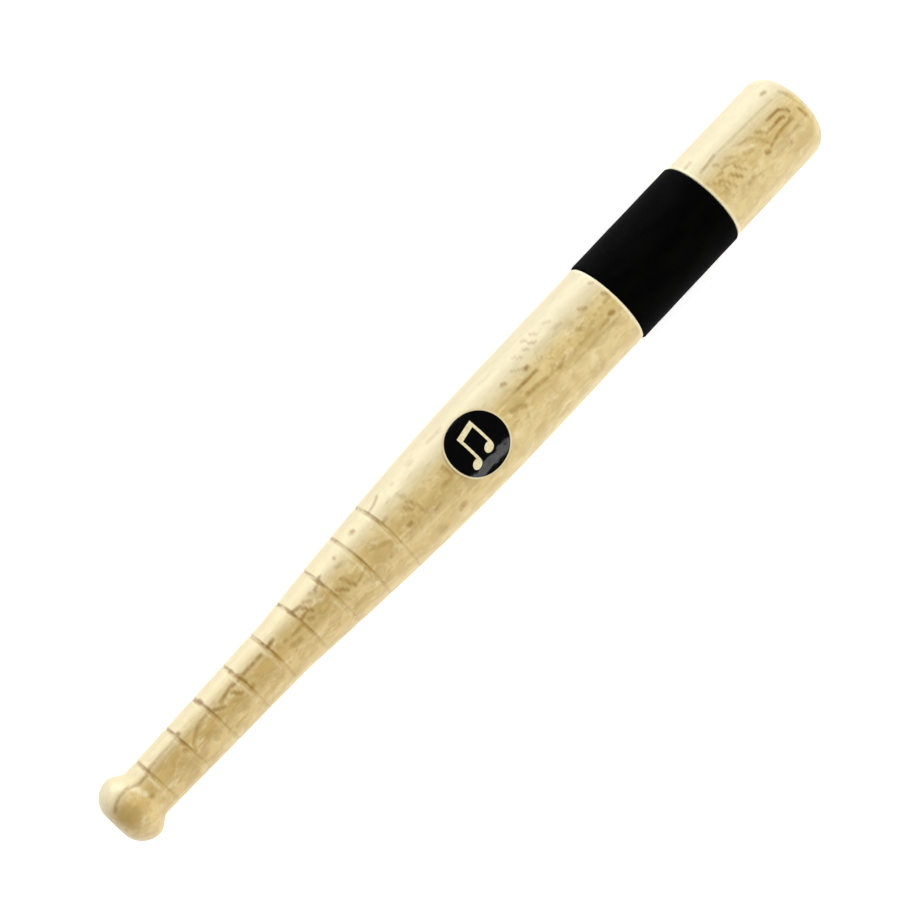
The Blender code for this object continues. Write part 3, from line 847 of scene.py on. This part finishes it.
def film_material():
    """Glossy black print with a thin pale rim."""
    n = Nodes("badge_black")
    dust = n.noise(n.stretch(n.attribute("stick_mm", "Vector"), (1.2, 1.2, 1.2)), detail=3)
    black = n.mix(n.remap(dust, 0.45, 0.7), (0.0006, 0.0007, 0.0007, 1), (0.0014, 0.0016, 0.0016, 1))
    rim = n.remap(n.attribute("from_centre"), BADGE_RADIUS - 0.55, BADGE_RADIUS - 0.42)
    n.set(
        Base_Color=n.mix(rim, black, (0.90, 0.77, 0.46, 1)),
        Roughness=n.remap(dust, 0.3, 0.8, 0.4, 0.5),
        Specular_IOR_Level=0.0,
        Coat_Weight=1.0,
        Coat_Roughness=0.12,
        Coat_IOR=1.5,
    )
    return n.material


def emblem_material():
    n = Nodes("badge_gold")
    place = n.attribute("stick_mm", "Vector")
    grain = n.noise(n.stretch(place, (1.5, 1.5, 1.5)), detail=3, roughness=0.6)
    n.set(
        Base_Color=n.mix(n.remap(grain, 0.35, 0.7), (0.95, 0.86, 0.56, 1), (0.80, 0.66, 0.35, 1)),
        Roughness=n.remap(grain, 0.3, 0.7, 0.3, 0.45),
        Coat_Weight=0.6,
        Coat_Roughness=0.12,
    )
    return n.material


def dome_material():
    """The clear layer is so thin that it only adds a trace of haze over the glossy print."""
    n = Nodes("badge_clear")
    haze = n.noise(n.stretch(n.attribute("stick_mm", "Vector"), (0.8, 0.8, 0.8)), detail=3)
    n.set(
        Base_Color=n.mix(haze, (0.004, 0.004, 0.004, 1), (0.012, 0.012, 0.012, 1)),
        Roughness=n.remap(haze, 0.35, 0.75, 0.03, 0.10),
        IOR=1.5,
        Alpha=0.05,
    )
    return n.material


def floor_material():
    n = Nodes("table_white")
    grain = n.noise(n.stretch(n.node("ShaderNodeNewGeometry").outputs["Position"], (60, 60, 60)), detail=2)
    n.set(
        Base_Color=n.mix(grain, (0.93, 0.93, 0.93, 1), (0.95, 0.95, 0.95, 1)),
        Roughness=0.9,
        Specular_IOR_Level=0.1,
        Emission_Color=(1, 1, 1, 1),
        Emission_Strength=0.42,
    )
    return n.material


# The stage

FLOOR_HALF_SIZE = 4
BACKDROP_RADIUS = 1.1


def make_floor():
    bm = bmesh.new()
    bmesh.ops.create_grid(bm, x_segments=8, y_segments=8, size=FLOOR_HALF_SIZE)
    mesh = bpy.data.meshes.new("floor")
    bm.to_mesh(mesh)
    bm.free()
    mesh.materials.append(floor_material())
    floor = bpy.data.objects.new("floor", mesh)
    bpy.context.collection.objects.link(floor)


def backdrop_material():
    n = Nodes("backdrop_white")
    n.set(
        Base_Color=(0, 0, 0, 1),
        Roughness=1.0,
        Specular_IOR_Level=0.0,
        Emission_Color=(1, 1, 1, 1),
        Emission_Strength=1.0,
    )
    return n.material


def make_backdrop():
    """A pale dome round the table, which only the camera sees, so that the lamps shine through it."""
    bm = bmesh.new()
    bmesh.ops.create_uvsphere(bm, u_segments=64, v_segments=32, radius=BACKDROP_RADIUS)
    below = [vert for vert in bm.verts if vert.co.z < -0.01]
    bmesh.ops.delete(bm, geom=below, context="VERTS")
    mesh = bpy.data.meshes.new("backdrop")
    bm.to_mesh(mesh)
    bm.free()
    mesh.materials.append(backdrop_material())
    backdrop = bpy.data.objects.new("backdrop", mesh)
    bpy.context.collection.objects.link(backdrop)
    backdrop.visible_diffuse = False
    backdrop.visible_glossy = False
    backdrop.visible_transmission = False
    backdrop.visible_shadow = False


def panel(name, centre, target, width, height, radiance, colour=(1, 1, 1), diffuse=True, glossy=True):
    """A soft rectangular lamp with its long side level. Its power follows from how bright its face is."""
    lamp = bpy.data.lights.new(name, "AREA")
    lamp.shape = "RECTANGLE"
    lamp.size = width
    lamp.size_y = height
    lamp.energy = radiance * pi * width * height
    lamp.color = colour
    made = bpy.data.objects.new(name, lamp)
    bpy.context.collection.objects.link(made)
    aim = (Vector(target) - Vector(centre)).normalized()
    made.matrix_world = Matrix.Translation(centre) @ aim.to_track_quat("-Z", "Y").to_matrix().to_4x4()
    made.visible_camera = False
    made.visible_diffuse = diffuse
    made.visible_glossy = glossy


def light_stage():
    world = bpy.data.worlds.new("studio")
    world.use_nodes = True
    backdrop = world.node_tree.nodes["Background"]
    backdrop.inputs["Color"].default_value = (1, 1, 1, 1)
    backdrop.inputs["Strength"].default_value = 0.04
    bpy.context.scene.world = world
    panel("ceiling", (0.25, 0.1, 1.2), (0, 0, 0), 3.2, 3.2, 0.985, glossy=False)
    panel("side", (0.2, 0.45, 0.33), (0, 0, 0.02), 1.2, 0.3, 1.55, (0.97, 0.99, 1.0), glossy=False)
    panel("shine", (0, 0.6, 0.09), (0, 0, 0.012), 1.6, 0.2, 6.0, (0.9, 0.96, 1.0), diffuse=False)
    panel("fill", (0.05, -0.46, 0.32), (0, 0, 0.01), 1.0, 0.2, 2.5, (0.97, 0.99, 1.0))


CAMERA_DISTANCE = 0.731
CAMERA_TILT = radians(9.3)
CAMERA_ROLL = radians(46.7)
AIM_X = 123.6
AIM_Y = 1.2
VIEW_ANGLE = radians(17.71)


def make_camera():
    """Over the stick and a little towards its knob. The stick runs from low left to high right."""
    view = direction(sin(CAMERA_TILT), 0, -cos(CAMERA_TILT))
    along = direction(cos(CAMERA_TILT), 0, sin(CAMERA_TILT))
    across = direction(0, 1, 0)
    right = cos(CAMERA_ROLL) * along - sin(CAMERA_ROLL) * across
    up = sin(CAMERA_ROLL) * along + cos(CAMERA_ROLL) * across
    data = bpy.data.cameras.new("camera")
    data.angle = VIEW_ANGLE
    data.clip_start = 0.01
    camera = bpy.data.objects.new("camera", data)
    bpy.context.collection.objects.link(camera)
    turn = Matrix((right, up, -view)).transposed().to_4x4()
    aim = STICK @ Vector((AIM_X, AIM_Y, 0))
    camera.matrix_world = Matrix.Translation(aim - view * CAMERA_DISTANCE) @ turn
    bpy.context.scene.camera = camera


# The pieces

def add(piece, node, finish):
    """Gives a piece its finish and lets it stand for its CAD node."""
    piece.data.materials.append(finish)
    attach(piece, "root")
    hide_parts(node)


def make_pieces():
    pad_top = PAD_GAP + PAD_THICKNESS
    film_bottom = pad_top + LAYER_GAP
    film_top = film_bottom + FILM_THICKNESS
    emblem_bottom = film_top + LAYER_GAP
    emblem_top = emblem_bottom + EMBLEM_THICKNESS
    dome_bottom = film_top + LAYER_GAP
    crown = DOME_CROWN_HEIGHT - DOME_RIM_HEIGHT

    def flat(height):
        return lambda distance: height

    def dome_top(distance):
        share = min(1, distance / BADGE_RADIUS)
        return dome_bottom + DOME_RIM_HEIGHT + crown * sqrt(1 - share ** 2)

    add(make_stick(), "beater_body", wood_material())
    add(make_sleeve(), "rubber_sleeve", rubber_material())
    pad = make_disc("badge_glue_pad", BADGE_RADIUS - PAD_INSET, PAD_GAP, flat(pad_top))
    add(pad, "badge_adhesive", pad_material())
    film = make_disc("badge_print", BADGE_RADIUS, film_bottom, flat(film_top), ripple=0.1)
    add(film, "badge_film", film_material())
    notes = make_emblem("badge_notes", emblem_bottom, emblem_top)
    add(notes, "badge_emblem", emblem_material())
    dome = make_disc("badge_clear_dome", BADGE_RADIUS, dome_bottom, dome_top)
    add(dome, "badge_dome", dome_material())


make_camera()
make_floor()
make_backdrop()
light_stage()
make_pieces()
bpy.context.scene.view_settings.view_transform = "Standard"
